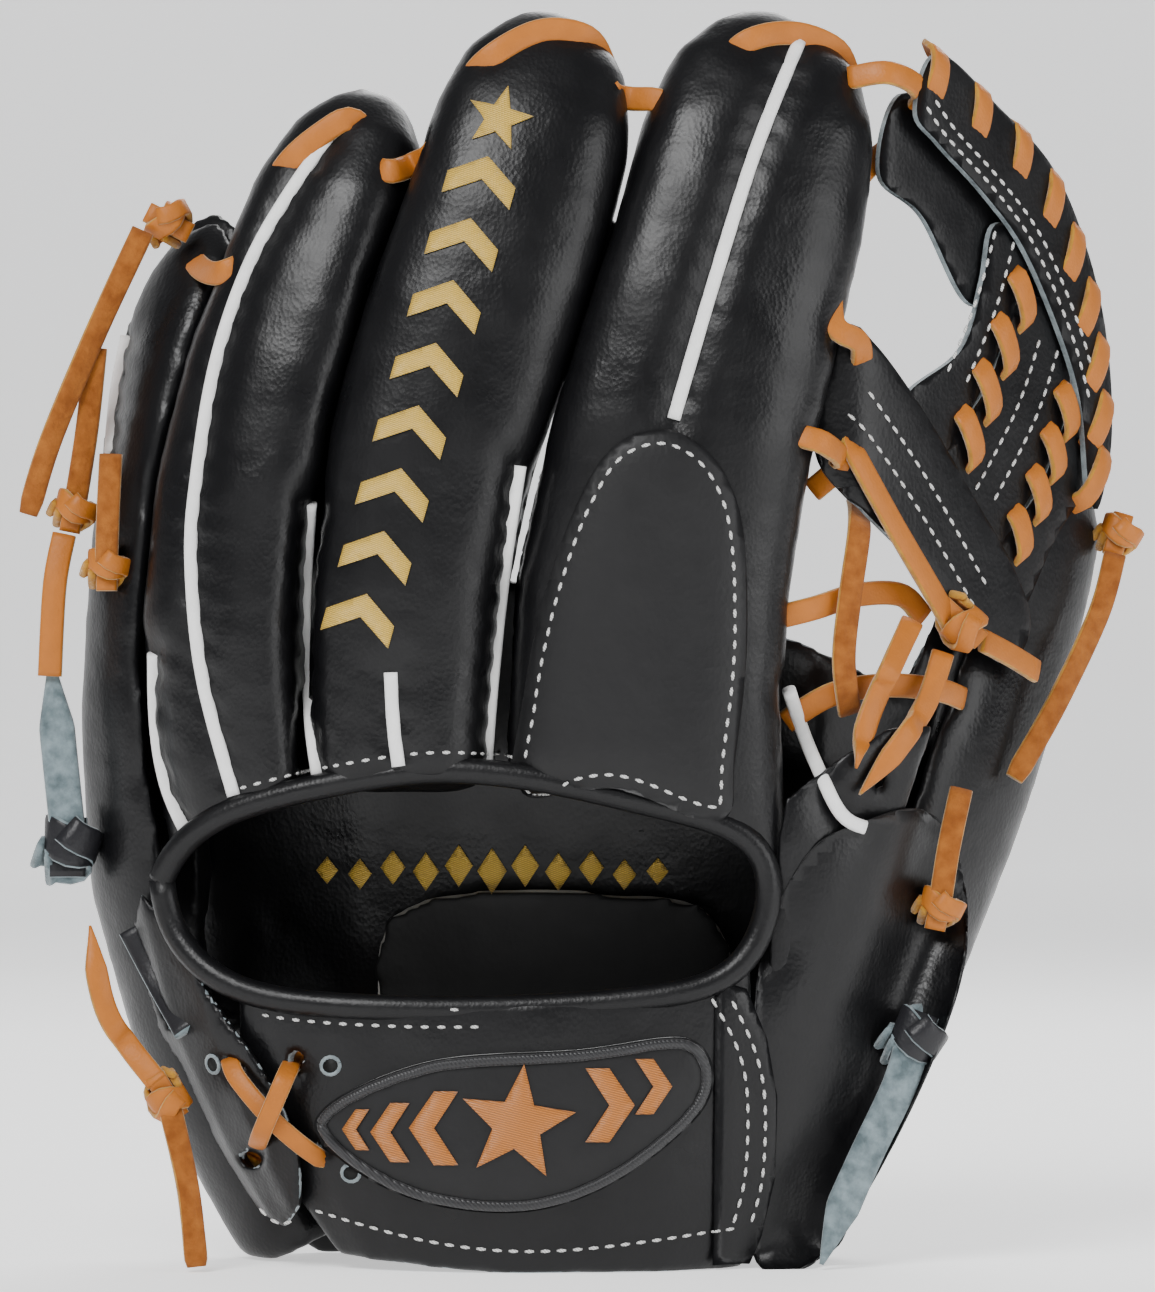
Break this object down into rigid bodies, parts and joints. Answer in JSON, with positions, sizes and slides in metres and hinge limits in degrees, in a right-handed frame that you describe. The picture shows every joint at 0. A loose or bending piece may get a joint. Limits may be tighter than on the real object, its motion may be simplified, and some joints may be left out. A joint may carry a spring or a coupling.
{
  "type": "baseball fielding glove",
  "caption": "Leather baseball fielding glove with laced fingertips, cross-strip web, bound wrist opening, wrist strap and a thumb side that folds to close the pocket.",
  "frame": {"origin": "middle of the heel, on the standing surface where the palm leather is cut off stands", "axes": "+Z from the heel up along the fingers, -Y out of the back of the glove, +Y out of the pocket, +X towards the thumb"},
  "size_m": [0.253, 0.0971, 0.2783],
  "materials": {
    "shell_leather": "smooth, slightly glossy black leather with a fine grain",
    "web_leather": "black leather with blue-grey suede cut edges",
    "binding_leather": "rolled black leather binding",
    "lining": "soft matt black lining leather",
    "felt": "grey wool felt",
    "welt_leather": "white leather welting",
    "tan_lace_leather": "tan oiled lace leather with fuzzy ochre edges and a rust suede back",
    "heel_lace_leather": "black lace leather with a blue-grey suede back",
    "copper_thread": "copper and gold satin embroidery with a dark corded border"
  },
  "bodies": {
    "hand": {"crotch_lace_cross": "tan_lace_leather", "crotch_lace_lower": "tan_lace_leather", "crotch_lace_upper": "tan_lace_leather", "felt_pad": "felt", "fingertip_lace": "tan_lace_leather", "heel_knot_little": "heel_lace_leather", "heel_lace_little": "heel_lace_leather", "index_finger": "shell_leather", "index_pad": "shell_leather", "little_finger": "shell_leather", "little_side_knot": "tan_lace_leather", "little_strand_knot": "tan_lace_leather", "little_strand_tail": "tan_lace_leather", "little_tip_knot": "tan_lace_leather", "little_tip_tail": "tan_lace_leather", "middle_finger": "shell_leather", "opening_binding": "binding_leather", "palm_leather": "shell_leather", "palm_lining": "lining", "ring_finger": "shell_leather", "strap_lace": "tan_lace_leather", "strap_patch": "copper_thread", "strap_tab": "shell_leather", "thumb_side_panel": "shell_leather", "web_attach_lace": "tan_lace_leather", "web_inner_bar": "web_leather", "web_knot": "tan_lace_leather", "web_lower_bar": "web_leather", "web_row_a_lace": "tan_lace_leather", "web_row_b_lace": "tan_lace_leather", "web_spiral_lace": "tan_lace_leather", "web_strip_1": "web_leather", "web_strip_2": "web_leather", "web_strip_3": "web_leather", "web_tail_left": "tan_lace_leather", "web_tail_right": "tan_lace_leather", "web_tie_lace": "tan_lace_leather", "web_tie_tail": "tan_lace_leather", "web_top_bar": "web_leather", "welt_index": "welt_leather", "welt_little_base": "welt_leather", "welt_little_outer": "welt_leather", "welt_middle_base": "welt_leather", "welt_middle_index": "welt_leather", "welt_ring_little": "welt_leather", "welt_ring_middle": "welt_leather", "welt_thumb": "welt_leather", "wrist_knot": "tan_lace_leather", "wrist_strap": "shell_leather", "wrist_tail_down": "tan_lace_leather", "wrist_tail_up": "tan_lace_leather"},
    "thumb": {"heel_knot_thumb": "heel_lace_leather", "heel_tail_thumb": "heel_lace_leather", "thumb_leather": "shell_leather", "thumb_side_knot": "tan_lace_leather", "thumb_stall": "shell_leather", "thumb_tip_knot": "tan_lace_leather", "thumb_tip_tail": "tan_lace_leather"}
  },
  "joints": [
    {"name": "thumb_fold", "type": "hinge", "parent": "hand", "child": "thumb", "pos_m": [0.0463, 0.00342, 0.0191], "axis": [0.3145, 0.027, 0.9489], "range_deg": [0, 45]}
  ]
}
